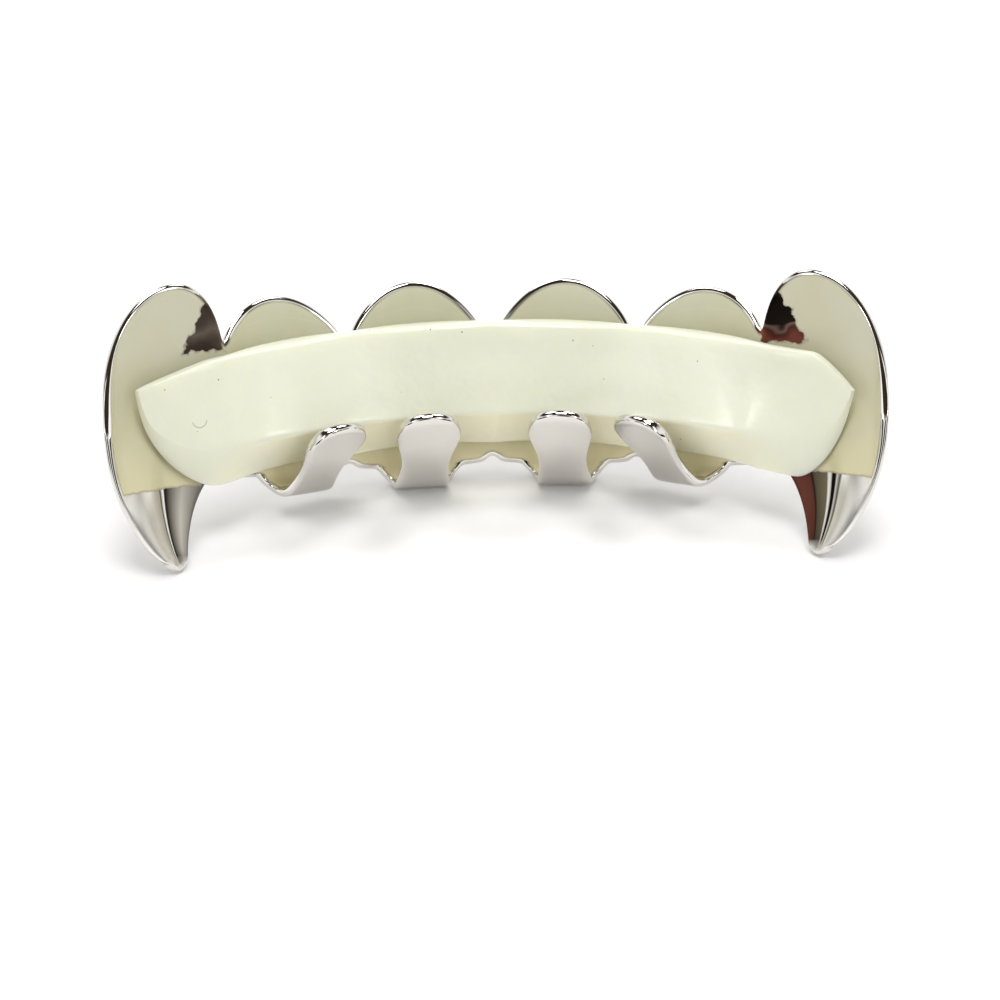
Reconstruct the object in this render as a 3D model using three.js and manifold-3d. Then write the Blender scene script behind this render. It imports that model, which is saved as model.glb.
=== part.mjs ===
// Vampire fang grillz for the upper teeth: one plated casting of six tooth caps, the outer two long fangs,
// with a hook tab folded up behind each incisor, and a moulded silicone fitting bar behind the caps.
// Millimetres, +Z up. The casting is worked out upright, as worn, with the lips towards +Y, and then leaned
// forward until it stands on its two fang tips and the folds of its two central hooks.
import * as THREE from "three";
import { mergeGeometries, mergeVertices } from "three/addons/utils/BufferGeometryUtils.js";
import Module from "manifold-3d";

const WALL = 0.5; // metal thickness of caps and hooks
const GAP = 0.3; // clearance between the bar and the metal
const REST_FLAT = 0.05; // depth of the small flats it stands on
const WELD = 1e-4; // points closer than this are one

// The dental arch is a circle in plan; widths run along it from the midline.
const ARCH_RADIUS = 28;
const BOW = 0.5; // how far the caps curve in towards the gum and the biting edge
const BOW_HEIGHT = 6.5; // height of the cap's foremost line
const INCISOR_BULGE = 0.9;

// Heights of the valleys between neighbouring caps, at the biting edge and at the gum.
const VALLEYS = {
  midline: { along: 0, edge: 2.0, gum: 8.5 },
  beside_central: { along: 8.7, edge: 1.9, gum: 8.9 },
  beside_lateral: { along: 16.8, edge: 2.6, gum: 9.4 },
};
const INCISORS = [ // hook_at: where the hook is rooted across the biting edge, -1 to 1
  { name: "central", from: "midline", to: "beside_central", edge: 1.2, gum: 12.3, tongue: 6.3, hook_at: 0 },
  {
    name: "lateral", from: "beside_central", to: "beside_lateral", edge: 1.35, gum: 11.9,
    tongue: 5.6, hook_at: -0.2,
  },
];
const HOOK_TURNS = { // degrees towards the midline; the hooks were bent by hand
  left: { central: -2, lateral: 10 },
  right: { central: -2, lateral: 20 },
};
const EDGE_POWER = 3; // squareness of an incisor's biting edge

// Fang outline in the unrolled arch: distance along it, height.
const FANG = {
  tip: { near: [20.5, -2.65], far: [21.75, -2.75], round: 0.45 },
  widest: [24.8, 5.0],
  near_handles: [[20.1, -1.4], [19.5, 1.5]],
  far_handles: [[23.3, -2.35], [24.8, 1.4]],
  gum_handles: [[17.75, 15.75], [23.5, 14.15]],
  trough: { depth: 1.7, closing: 0.7, skew: 2.1 }, // it closes at the tip and is deepest near the far side
};

// Hook tabs: a bend under the biting edge, then a straight tongue leaning back.
const HOOK = {
  root: 0.6, flare_power: 1.6, bend_radius: 1.0, slant: 44,
  round: 0.9, round_power: 2.4, round_from: 4, // the free end's corners
  crowding: 1.4, // packs the mesh rows into the bend
};
const HOOK_WIDTHS = [ // share of the way from the root's fillet to the free end, half width there
  { done: 0.17, half: 1.6 }, { done: 0.43, half: 1.28 }, { done: 0.8, half: 1.78 }, { done: 1, half: 1.6 },
];

// Silicone bar: heights of its top, rear crease and foot at the midline, and their fall towards the ends.
const BAR = {
  top: 10.1, top_fall: 1.45 / 20 ** 2,
  crease: 4.8, crease_fall: 0.9 / 17 ** 2,
  foot: 2.7, foot_fall: 1.2 / 17 ** 2,
  rear_top: 26.3, rear_crease: 25.0, // radii of the rear face in plan
  end: 23.4, end_height: 7.2, round_from: 17.9, crease_round: 2.0, foot_round: 1.55,
  thin_from: 13, thin_power: 1.5, end_thickness: 0.4, // it thins out against the fangs
  fang_bulge: 0.6,
};
const BAR_CORE = { across: 0.5, level: 1.2 };
const TRIM = { along: 21.3, height: 8.5, slant: 36 }; // the right end's top corner is cut off on a slant
const BLADE = { length: 12, width: 20, height: 8 };
const FLOOR = { side: 80, depth: 2 };
const LEAN_SEARCH = { up_to: 60, steps: 40 };
const BAR_SECTION = [ // across: 0 front, 1 rear; level: 0 foot, 1 crease, 2 top
  { across: 0.0, level: 0.2 }, { across: 0.0, level: 1.0 }, { across: 0.0, level: 1.86 },
  { across: 0.3, level: 2.0 }, { across: 0.75, level: 1.98 }, { across: 1.0, level: 1.87 },
  { across: 1.0, level: 1.55 }, { across: 1.0, level: 1.2 }, { across: 0.97, level: 1.0 },
  { across: 0.88, level: 0.86 }, { across: 0.5, level: 0.4 }, { across: 0.12, level: 0.0 },
];

const MESH = {
  incisor_columns: 10, cap_rows: 10, fang_columns: 12, fang_tip_rows: 9, hook_rows: 16, bar_stations: 52,
};

const { lerp, smoothstep, degToRad } = THREE.MathUtils;
const bow = (height) => -BOW * ((height - BOW_HEIGHT) / BOW_HEIGHT) ** 2;
const arched = (share) => 1 - (2 * share - 1) ** 2; // 0 at both ends of a span and 1 in the middle

// A point on the arch: distance along it, distance outward from it, height.
function onArch(along, outward, height) {
  const angle = along / ARCH_RADIUS;
  const radius = ARCH_RADIUS + outward;
  return new THREE.Vector3(radius * Math.sin(angle), radius * Math.cos(angle) - ARCH_RADIUS, height);
}

// Middle surface of an incisor cap; u runs from its near side to its far side, v from edge to gum.
function incisorPoint(incisor, u, v) {
  const [near, far] = [VALLEYS[incisor.from], VALLEYS[incisor.to]];
  const square = (1 - Math.abs(2 * u - 1) ** EDGE_POWER) ** (1 / EDGE_POWER);
  const edge = lerp(lerp(near.edge, far.edge, u), incisor.edge, square);
  const gum = lerp(near.gum, far.gum, u) + (incisor.gum - (near.gum + far.gum) / 2) * arched(u);
  const height = lerp(edge, gum, v);
  return onArch(lerp(near.along, far.along, u), bow(height) + INCISOR_BULGE * arched(u), height);
}

const curve = (start, handles, end) =>
  new THREE.CubicBezierCurve(...[start, ...handles, end].map((point) => new THREE.Vector2(...point)));

// Middle surface of a fang: a patch stretched between its two sides, its gum line and its tip.
function fangPoint(u, v) {
  const join = VALLEYS.beside_lateral;
  const tipShare = MESH.fang_tip_rows / (MESH.fang_tip_rows + MESH.cap_rows);
  const nearEdge = curve(FANG.tip.near, FANG.near_handles, [join.along, join.edge]);
  const nearSide = (t) => t < tipShare
    ? nearEdge.getPoint(t / tipShare)
    : new THREE.Vector2(join.along, lerp(join.edge, join.gum, (t - tipShare) / (1 - tipShare)));
  const farSide = curve(FANG.tip.far, FANG.far_handles, FANG.widest);
  const gumLine = curve([join.along, join.gum], FANG.gum_handles, FANG.widest);
  const across = (t) => nearSide(t).lerp(farSide.getPoint(t), u);
  const tipLine = across(0).sub(new THREE.Vector2(0, FANG.tip.round * arched(u)));
  const ends = tipLine.lerp(gumLine.getPoint(u), v);
  const place = across(v).add(ends).sub(across(0).lerp(across(1), v));
  const { depth, closing, skew } = FANG.trough;
  const trough = depth * (v * (2 - v)) ** closing * arched(u ** skew);
  return onArch(place.x, bow(place.y) + trough, place.y);
}

// Middle surface of a hook; u runs across it, v from its free end to its root on the biting edge.
function hookPoint(incisor, turn, u, v) {
  const across = 2 * u - 1;
  const done = (1 - v) ** HOOK.crowding;
  const rootHalf = HOOK.root * (VALLEYS[incisor.to].along - VALLEYS[incisor.from].along) / 2;
  const half = hookHalfWidth(done, rootHalf);
  const root = incisorPoint(incisor, 0.5 + (incisor.hook_at + HOOK.root * across * half / rootHalf) / 2, 0);
  const middle = incisorPoint(incisor, 0.5 + incisor.hook_at / 2, 0);
  const facing = Math.atan2(middle.x, middle.y + ARCH_RADIUS) + degToRad(turn);
  const outward = new THREE.Vector3(Math.sin(facing), Math.cos(facing), 0);
  const sideways = new THREE.Vector3(outward.y, -outward.x, 0);

  const startAngle = Math.atan(2 * BOW * (BOW_HEIGHT - incisor.edge) / BOW_HEIGHT ** 2);
  const endAngle = Math.PI - degToRad(HOOK.slant);
  const bendLength = HOOK.bend_radius * (endAngle - startAngle);
  const corner = 1 - (1 - Math.abs(across) ** HOOK.round_power) ** (1 / HOOK.round_power);
  const shorter = HOOK.round * corner * done ** HOOK.round_from;
  const travel = done * (bendLength + incisor.tongue) - shorter;
  const angle = Math.min(startAngle + travel / HOOK.bend_radius, endAngle);
  const straight = Math.max(travel - bendLength, 0);
  const back = HOOK.bend_radius * (Math.cos(startAngle) - Math.cos(angle)) + straight * Math.sin(endAngle);
  const up = HOOK.bend_radius * (Math.sin(startAngle) - Math.sin(angle)) - straight * Math.cos(endAngle);

  const flat = middle.clone().addScaledVector(sideways, across * half);
  const place = root.clone().lerp(flat, smoothstep(done, 0, HOOK_WIDTHS[0].done));
  return place.addScaledVector(outward, -back).setZ(root.z + up);
}

// Half the width of a hook; at the root a fillet runs into the biting edge.
function hookHalfWidth(done, rootHalf) {
  const [fillet] = HOOK_WIDTHS;
  if (done <= fillet.done) {
    const open = 1 - done / fillet.done;
    return fillet.half + (rootHalf - fillet.half) * open ** HOOK.flare_power;
  }
  const next = HOOK_WIDTHS.findIndex((row) => row.done >= done);
  const [before, after] = [HOOK_WIDTHS[next - 1], HOOK_WIDTHS[next]];
  return lerp(before.half, after.half, smoothstep(done, before.done, after.done));
}

// A flat grid carried onto a surface given by its (u, v) function.
function sheet(point, columns, rows) {
  const grid = new THREE.PlaneGeometry(1, 1, columns, rows);
  const { position, uv } = grid.attributes;
  for (let i = 0; i < position.count; i++) position.setXYZ(i, ...point(uv.getX(i), uv.getY(i)));
  return bare(grid);
}

function bare(geometry) {
  geometry.deleteAttribute("normal");
  geometry.deleteAttribute("uv");
  return geometry;
}

function mirrored(geometry) {
  const twin = geometry.clone().scale(-1, 1, 1);
  return twin.setIndex([...twin.index.array].reverse());
}

// Gives a welded sheet its thickness: both faces, and a rim along every free edge.
function thickened(surface, thickness) {
  surface.computeVertexNormals();
  const { position, normal } = surface.attributes;
  const count = position.count;
  const points = [0.5, -0.5].flatMap((side) => Array.from({ length: count }, (_, i) =>
    new THREE.Vector3().fromBufferAttribute(position, i)
      .addScaledVector(new THREE.Vector3().fromBufferAttribute(normal, i), side * thickness)));
  const triangles = [];
  const freeEdges = new Map();
  const corners = surface.index.array;
  for (let t = 0; t < corners.length; t += 3) {
    const [a, b, c] = corners.subarray(t, t + 3);
    triangles.push(a, b, c, count + c, count + b, count + a);
    for (const [from, to] of [[a, b], [b, c], [c, a]]) {
      if (!freeEdges.delete(`${to},${from}`)) freeEdges.set(`${from},${to}`, [from, to]);
    }
  }
  for (const [from, to] of freeEdges.values()) {
    triangles.push(to, from, count + from, to, count + from, count + to);
  }
  return new THREE.BufferGeometry().setFromPoints(points).setIndex(triangles);
}

// The angle of lean that brings the fang tips and the hook folds level.
function restingLean(geometry) {
  const points = Array.from({ length: geometry.attributes.position.count }, (_, i) =>
    new THREE.Vector3().fromBufferAttribute(geometry.attributes.position, i));
  const isFang = (point) => Math.abs(point.x) > VALLEYS.beside_lateral.along;
  const lowest = (group, lean) =>
    Math.min(...group.map((point) => point.z * Math.cos(lean) - point.y * Math.sin(lean)));
  const fangs = points.filter(isFang);
  const hooks = points.filter((point) => !isFang(point));
  let [low, high] = [0, degToRad(LEAN_SEARCH.up_to)];
  for (let step = 0; step < LEAN_SEARCH.steps; step++) {
    const middle = (low + high) / 2;
    if (lowest(fangs, middle) < lowest(hooks, middle)) low = middle;
    else high = middle;
  }
  return low;
}

// A point of the silicone bar: t from end to end, k the row of its section, fill from 0 at the core to 1
// on the skin.
function barPoint(t, k, fill) {
  const along = BAR.end * (2 * t - 1);
  const reach = Math.abs(along);
  const turned = Math.max(reach - BAR.round_from, 0) / (BAR.end - BAR.round_from);
  const squeeze = (power) => (1 - turned ** power) ** (1 / power);
  const top = BAR.top - BAR.top_fall * reach ** 2;
  const crease = lerp(BAR.end_height, BAR.crease - BAR.crease_fall * reach ** 2, squeeze(BAR.crease_round));
  const foot = lerp(BAR.end_height, BAR.foot - BAR.foot_fall * reach ** 2, squeeze(BAR.foot_round));
  const thinned = (Math.max(reach - BAR.thin_from, 0) / (BAR.end - BAR.thin_from)) ** BAR.thin_power;
  const spot = (row) => {
    const height = row.level < 1 ? lerp(foot, crease, row.level) : lerp(crease, top, row.level - 1);
    const front = bow(height) + frontBulge(reach) - WALL / 2 - GAP;
    const fullRear = lerp(BAR.rear_crease, BAR.rear_top, Math.max(row.level - 1, 0)) - ARCH_RADIUS;
    const rear = lerp(fullRear, front - BAR.end_thickness, thinned);
    return new THREE.Vector2(lerp(front, rear, row.across), height);
  };
  const place = spot(BAR_CORE).lerp(spot(BAR_SECTION[k]), fill);
  return onArch(along, place.x, place.y);
}

// How far the bar's front swells into the back of each cap.
function frontBulge(reach) {
  const incisor = INCISORS.find(({ to }) => reach <= VALLEYS[to].along);
  const [start, end] = incisor
    ? [VALLEYS[incisor.from].along, VALLEYS[incisor.to].along]
    : [VALLEYS.beside_lateral.along, FANG.widest[0]];
  const share = (reach - start) / (end - start);
  return incisor ? INCISOR_BULGE * arched(share) : BAR.fang_bulge * arched(share ** FANG.trough.skew);
}

function barGeometry() {
  const blade = new THREE.BoxGeometry(BLADE.length, BLADE.width, BLADE.height)
    .translate(0, 0, BLADE.height / 2).rotateY(degToRad(TRIM.slant))
    .rotateZ(-TRIM.along / ARCH_RADIUS).translate(...onArch(TRIM.along, 0, TRIM.height));
  return fromSolid(toSolid(barBlank()).subtract(toSolid(blade)));
}

function barBlank() {
  const sides = BAR_SECTION.length;
  const tube = new THREE.CylinderGeometry(1, 1, 1, sides, MESH.bar_stations);
  const { position } = tube.attributes;
  for (let i = 0; i < position.count; i++) {
    const [x, y, z] = [position.getX(i), position.getY(i), position.getZ(i)];
    const k = Math.round(Math.atan2(x, z) / (2 * Math.PI) * sides + sides) % sides;
    position.setXYZ(i, ...barPoint(y + 0.5, k, Math.hypot(x, z)));
  }
  return mergeVertices(bare(tube), WELD);
}

function shellGeometry() {
  const { incisor_columns: columns, cap_rows: rows } = MESH;
  const half = (turns) => [
    sheet(fangPoint, MESH.fang_columns, MESH.fang_tip_rows + rows),
    ...INCISORS.flatMap((incisor) => [
      sheet((u, v) => incisorPoint(incisor, u, v), columns, rows),
      sheet((u, v) => hookPoint(incisor, turns[incisor.name], u, v), columns * HOOK.root, MESH.hook_rows),
    ]),
  ];
  const halves = [...half(HOOK_TURNS.right), ...half(HOOK_TURNS.left).map(mirrored)];
  return thickened(mergeVertices(mergeGeometries(halves), WELD), WALL);
}

const manifold = await Module();
manifold.setup();

function toSolid(geometry) {
  const welded = mergeVertices(bare(geometry), WELD);
  return manifold.Manifold.ofMesh(new manifold.Mesh({
    numProp: 3, vertProperties: Float32Array.from(welded.attributes.position.array),
    triVerts: Uint32Array.from(welded.index.array),
  }));
}

function fromSolid(solid) {
  const { vertProperties, triVerts } = solid.getMesh();
  const geometry = new THREE.BufferGeometry();
  geometry.setAttribute("position", new THREE.BufferAttribute(vertProperties, 3));
  return geometry.setIndex(new THREE.BufferAttribute(triVerts, 1));
}

// Stand both pieces on the floor, then take the small flats off the folds and tips.
const shell = shellGeometry();
const lean = restingLean(shell);
const pieces = { shell: shell.rotateX(-lean), bar: barGeometry().rotateX(-lean) };
pieces.shell.computeBoundingBox();
const box = pieces.shell.boundingBox.clone();
const toOrigin = new THREE.Vector3(0, -(box.min.y + box.max.y) / 2, -(box.min.z + REST_FLAT));
for (const piece of Object.values(pieces)) piece.translate(...toOrigin);
const below = new THREE.BoxGeometry(FLOOR.side, FLOOR.side, FLOOR.depth).translate(0, 0, -FLOOR.depth / 2);
const standing = toSolid(pieces.shell).subtract(toSolid(below));

const part = new THREE.Group();
part.name = "vampire_fang_grillz";
const grill = new THREE.Mesh(fromSolid(standing),
  new THREE.MeshStandardMaterial({ color: 0xdcdad4, metalness: 1, roughness: 0.1 }));
grill.name = "grill_shell";
const bar = new THREE.Mesh(pieces.bar,
  new THREE.MeshStandardMaterial({ color: 0xeef0db, metalness: 0, roughness: 0.45 }));
bar.name = "silicone_bar";
part.add(grill, bar);

export default part;
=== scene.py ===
# %% [markdown]
# Vampire fang grillz for the upper teeth, seen from behind, as they stand on a white table.
# The real thing is two pieces: a thin plated casting of six tooth caps, whose outer two are long hollow
# fangs, and a cream silicone bar that is moulded against the backs of the caps to make them fit.
# The CAD model is loaded first and stays as the frame. Both pieces are then remodelled here with a finer
# surface in the same place, because a mirror finish shows every facet.

# %% Load the frame
from itertools import product
from math import atan, atan2, cos, pi, radians, sin, tan

import bmesh
import bpy
from mathutils import Matrix, Vector
from mathutils.kdtree import KDTree


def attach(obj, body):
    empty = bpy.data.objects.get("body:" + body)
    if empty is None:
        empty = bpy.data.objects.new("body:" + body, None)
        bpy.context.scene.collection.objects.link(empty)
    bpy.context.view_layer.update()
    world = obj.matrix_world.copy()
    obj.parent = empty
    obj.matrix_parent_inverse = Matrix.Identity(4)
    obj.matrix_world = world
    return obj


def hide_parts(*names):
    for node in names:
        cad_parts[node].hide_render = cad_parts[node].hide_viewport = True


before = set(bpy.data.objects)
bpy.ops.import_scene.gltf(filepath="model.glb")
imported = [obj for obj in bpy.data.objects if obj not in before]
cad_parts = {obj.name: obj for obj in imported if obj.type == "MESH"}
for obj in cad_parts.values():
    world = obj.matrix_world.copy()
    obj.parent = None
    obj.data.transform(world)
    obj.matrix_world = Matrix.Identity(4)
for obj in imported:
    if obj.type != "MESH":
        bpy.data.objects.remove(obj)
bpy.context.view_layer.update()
MM = 0.001

# %% [markdown]
# The camera comes first, so that every later look is judged in the photo's own frame. The photo was taken
# from the tongue side and from above, with a long lens, a little to the left of the middle. A camera can be
# aimed with a Track To constraint, but the framing is easier to see when its axes are written as a matrix.

# %% Camera at the photo's angle
CAMERA = {
    "elevation": radians(33),
    "turn": radians(-2.64),
    "distance": 220 * MM,
    "aim": Vector((0, 2.2, 0.1)) * MM,
    "aside": 0.44 * MM,  # the picture's centre lies this far right of the aim, and below it
    "below": 1.25 * MM,
    "lens": 132.2,
}


def place_camera(spec):
    right = Vector((cos(spec["turn"]), sin(spec["turn"]), 0))
    level = Vector((-sin(spec["turn"]), cos(spec["turn"]), 0))
    ahead = level * cos(spec["elevation"]) - Vector((0, 0, sin(spec["elevation"])))
    up = level * sin(spec["elevation"]) + Vector((0, 0, cos(spec["elevation"])))
    data = bpy.data.cameras.new("photo_camera")
    data.lens, data.sensor_width, data.sensor_fit = spec["lens"], 36, "HORIZONTAL"
    data.clip_start, data.clip_end = 0.01, 20
    camera = bpy.data.objects.new("photo_camera", data)
    bpy.context.collection.objects.link(camera)
    place = spec["aim"] - ahead * spec["distance"] + right * spec["aside"] - up * spec["below"]
    axes = Matrix((right, up, -ahead)).transposed()
    camera.matrix_world = Matrix.Translation(place) @ axes.to_4x4()
    return camera


camera = place_camera(CAMERA)
bpy.context.scene.camera = camera
print("camera stands at", [round(x / MM, 1) for x in camera.location], "mm")

# %% [markdown]
# The dental arch is a circle in plan, and every size along the teeth is measured along it. Working on the
# unrolled arch keeps the numbers those of real teeth: width along it, height above the biting edge, and
# how far a surface stands outward. One function then carries such a place into space. The caps are worked
# out upright, as worn, in millimetres, and leaned onto the table at the end.

# %% The arch
ARCH_RADIUS = 28.0
BOW = 0.5  # how far the caps curve in towards the gum and the biting edge
BOW_HEIGHT = 6.5
LEAN = radians(23.229)  # it tips forward until fang tips and hook folds stand on the table
SEAT = Vector((0, 2.0849, -0.2747))  # then it slides to the frame's origin
STAND = Matrix.Scale(MM, 4) @ Matrix.Translation(SEAT) @ Matrix.Rotation(-LEAN, 4, "X")


def bow(height):
    return -BOW * ((height - BOW_HEIGHT) / BOW_HEIGHT) ** 2


def on_arch(along, outward, height):
    angle = along / ARCH_RADIUS
    radius = ARCH_RADIUS + outward
    return Vector((radius * sin(angle), radius * cos(angle) - ARCH_RADIUS, height))


def unrolled(place):
    return ARCH_RADIUS * atan2(place.x, place.y + ARCH_RADIUS), place.z


def arched(share):  # 0 at both ends of a span and 1 in the middle
    return 1 - (2 * share - 1) ** 2


def lerp(start, end, share):
    return start + (end - start) * share


def smoothstep(value, low, high):
    share = min(max((value - low) / (high - low), 0), 1)
    return share * share * (3 - 2 * share)


print("arch of radius", ARCH_RADIUS, "mm, leaned by", round(LEAN * 180 / pi, 2), "degrees")

# %% [markdown]
# Each incisor cap is a thin curved plate. Its gum line is a round arch, its biting edge is nearly straight
# with rounded corners, and it bulges outward in the middle. A flat grid whose points are moved onto that
# surface keeps clean rows of four-sided faces, which subdivide smoothly. Sculpting would give a livelier
# surface, but a polished casting wants even curvature.

# %% Incisor caps
INCISOR_BULGE = 0.9
EDGE_POWER = 3  # squareness of the biting edge
GUM_POWER = 0.8  # a gum line a little fuller than a parabola
VALLEYS = {  # between neighbouring caps: place along the arch, height at the edge and at the gum
    "midline": {"along": 0.0, "edge": 2.0, "gum": 8.5},
    "beside_central": {"along": 8.7, "edge": 1.9, "gum": 8.9},
    "beside_lateral": {"along": 16.8, "edge": 2.6, "gum": 9.4},
}
INCISORS = {
    "central": {"near": "midline", "far": "beside_central", "edge": 1.2, "gum": 12.4},
    "lateral": {"near": "beside_central", "far": "beside_lateral", "edge": 1.35, "gum": 12.0},
}


def incisor_point(cap, u, v):
    near, far = VALLEYS[cap["near"]], VALLEYS[cap["far"]]
    square = max(1 - abs(2 * u - 1) ** EDGE_POWER, 0) ** (1 / EDGE_POWER)
    edge = lerp(lerp(near["edge"], far["edge"], u), cap["edge"], square)
    middle_gum = (near["gum"] + far["gum"]) / 2
    gum = lerp(near["gum"], far["gum"], u) + (cap["gum"] - middle_gum) * arched(u) ** GUM_POWER
    height = lerp(edge, gum, v)
    return on_arch(lerp(near["along"], far["along"], u), bow(height) + INCISOR_BULGE * arched(u), height)


print("cap widths in mm:", [round(VALLEYS[c["far"]]["along"] - VALLEYS[c["near"]]["along"], 1)
                            for c in INCISORS.values()])

# %% [markdown]
# A fang is a long hollow cap that tapers to a point, open at the back like a trough. Its outline is four
# smooth curves, and the surface is stretched between them: each point takes the blend of the two sides,
# adds the blend of the two ends, and takes away what was counted twice. It is then pushed outward to make
# the trough, which is folded to a valley near the tip, rounds out above and is deepest near the far side.
# The rim on that side stands out too, so that the fang's outline has no corner at its widest place.

# %% Fangs
FANG = {  # place along the arch, height
    "tip_near": (20.5, -2.65), "tip_far": (21.75, -2.75), "widest": (24.8, 5.0),
    "near_handles": ((20.1, -1.4), (19.5, 1.5)),
    "far_handles": ((23.3, -2.35), (25.2, 1.4)),
    "gum_handles": ((17.75, 15.9), (23.5, 14.3)),
}
TIP_ROUND = 0.45
TROUGH = {  # the depth is in mm, closing, skew and lip_power are powers, and the rest are shares
    "depth": 1.7, "closing": 0.7, "skew": 2.1, "fold": 0.52, "fold_depth": 0.7, "folded_to": (0.35, 0.7),
    "lip": 0.38, "lip_power": 8,
}
TIP_ROWS, CAP_ROWS, FANG_COLUMNS = 12, 12, 16


def curve_point(start, handles, end, t):
    weights = ((1 - t) ** 3, 3 * t * (1 - t) ** 2, 3 * t * t * (1 - t), t**3)
    points = [Vector(p) for p in (start, *handles, end)]
    return sum((w * p for w, p in zip(weights, points)), Vector((0, 0)))


def fang_near_side(v):
    join = VALLEYS["beside_lateral"]
    tip_share = TIP_ROWS / (TIP_ROWS + CAP_ROWS)
    if v < tip_share:
        joined = (join["along"], join["edge"])
        return curve_point(FANG["tip_near"], FANG["near_handles"], joined, v / tip_share)
    share = (v - tip_share) / (1 - tip_share)
    return Vector((join["along"], lerp(join["edge"], join["gum"], share)))


def fang_far_side(v):
    return curve_point(FANG["tip_far"], FANG["far_handles"], FANG["widest"], v)


def fang_point(u, v):
    join = VALLEYS["beside_lateral"]
    gum_line = curve_point((join["along"], join["gum"]), FANG["gum_handles"], FANG["widest"], u)
    sides, tip, gum = (lerp(fang_near_side(t), fang_far_side(t), u) for t in (v, 0, 1))
    tip_line = tip - Vector((0, TIP_ROUND * arched(u)))
    place = sides + lerp(tip_line, gum_line, v) - lerp(tip, gum, v)
    fold = TROUGH["fold_depth"] * min(u / TROUGH["fold"], (1 - u) / (1 - TROUGH["fold"]))
    section = lerp(fold, arched(u ** TROUGH["skew"]), smoothstep(v, *TROUGH["folded_to"]))
    section = lerp(section, 1, TROUGH["lip"] * u ** TROUGH["lip_power"])
    trough = TROUGH["depth"] * (v * (2 - v)) ** TROUGH["closing"] * section
    return on_arch(place.x, bow(place.y) + trough, place.y)


print("fang length in mm:", round(FANG["widest"][1] - FANG["tip_far"][1], 1), "below its widest place")

# %% [markdown]
# Behind every incisor a tab of the same metal is folded up under the biting edge to grip the tooth. It
# starts wide at the edge, narrows to a waist in the fold and ends in a rounded paddle. It could be
# extruded from the edge step by step, but a grid bent along one path keeps the fold a true arc. The tabs
# were bent by hand, so the outer two lean by different amounts.

# %% Hook tabs
HOOK = {
    "root": 0.6, "flare_power": 1.6, "bend_radius": 1.0, "slant": radians(44), "crowding": 1.4,
    "round": 1.35, "round_power": 2.0, "round_from": 4,
}
HOOK_WIDTHS = [(0.17, 1.65), (0.45, 1.42), (0.86, 1.92), (1, 1.8)]  # share of the way, half width there
FILLET = HOOK_WIDTHS[0]
HOOK_TONGUES = {"central": 6.42, "lateral": 5.72}
HOOK_ROOTS = {"central": 0.0, "lateral": -0.2}  # where across the biting edge, from -1 to 1
HOOK_TURNS = {"left": {"central": -2, "lateral": 10}, "right": {"central": -2, "lateral": 20}}


def hook_half_width(done, root_half):
    if done < FILLET[0]:
        return FILLET[1] + (root_half - FILLET[1]) * (1 - done / FILLET[0]) ** HOOK["flare_power"]
    for (start, before), (end, after) in zip(HOOK_WIDTHS, HOOK_WIDTHS[1:]):
        if done <= end:
            return lerp(before, after, smoothstep(done, start, end))
    return HOOK_WIDTHS[-1][1]


def hook_point(name, turn, u, v):
    cap, across = INCISORS[name], 2 * u - 1
    done = (1 - v) ** HOOK["crowding"]
    root_half = HOOK["root"] * (VALLEYS[cap["far"]]["along"] - VALLEYS[cap["near"]]["along"]) / 2
    half = hook_half_width(done, root_half)
    root = incisor_point(cap, 0.5 + (HOOK_ROOTS[name] + HOOK["root"] * across * half / root_half) / 2, 0)
    middle = incisor_point(cap, 0.5 + HOOK_ROOTS[name] / 2, 0)
    facing = atan2(middle.x, middle.y + ARCH_RADIUS) + radians(turn)
    outward = Vector((sin(facing), cos(facing), 0))
    sideways = Vector((outward.y, -outward.x, 0))
    start_angle = atan(2 * BOW * (BOW_HEIGHT - cap["edge"]) / BOW_HEIGHT**2)
    end_angle = pi - HOOK["slant"]
    radius = HOOK["bend_radius"]
    bend_length = radius * (end_angle - start_angle)
    corner = 1 - max(1 - abs(across) ** HOOK["round_power"], 0) ** (1 / HOOK["round_power"])
    shorter = HOOK["round"] * corner * done ** HOOK["round_from"]
    travel = done * (bend_length + HOOK_TONGUES[name]) - shorter
    angle = min(start_angle + travel / radius, end_angle)
    straight = max(travel - bend_length, 0)
    back = radius * (cos(start_angle) - cos(angle)) + straight * sin(end_angle)
    up = radius * (sin(start_angle) - sin(angle)) - straight * cos(end_angle)
    flat = middle + sideways * across * half
    place = lerp(root, flat, smoothstep(done, 0, FILLET[0])) - outward * back
    place.z = root.z + up
    return place


print("hook tongues in mm:", HOOK_TONGUES)

# %% [markdown]
# Now the sheets are laid and welded along the valleys and the hook roots into one skin, which lies in the
# middle of the metal. Solidify gives it the casting's thickness, and two levels of subdivision smooth it and
# round its rims as polishing does. A bevel could round them too, but here the wall is so thin that its two
# edges would meet. The unrolled arch is kept as a UV map in millimetres, so that the finish inside the caps
# can be laid out by real sizes. On that map the hooks go on straight down from the biting edge. Each point
# also keeps its distance from the nearest rim and how far across a fang it lies. A vertex group lets the
# rounded ends of the tabs be thicker than the rest.

# %% One welded casting
WALL, TAB_END = 0.5, 0.66  # thickness of the casting, and of the tabs' rounded ends
TAB_END_FROM = 0.8  # share of a tab's length where that thickening starts
WELD = 0.002
INCISOR_COLUMNS, HOOK_ROWS = 20, 18
UNROLLED, TO_RIM, ACROSS, TAB_ENDS = "unrolled_arch", "distance_to_rim", "across_fang", "tab_ends"


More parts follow.
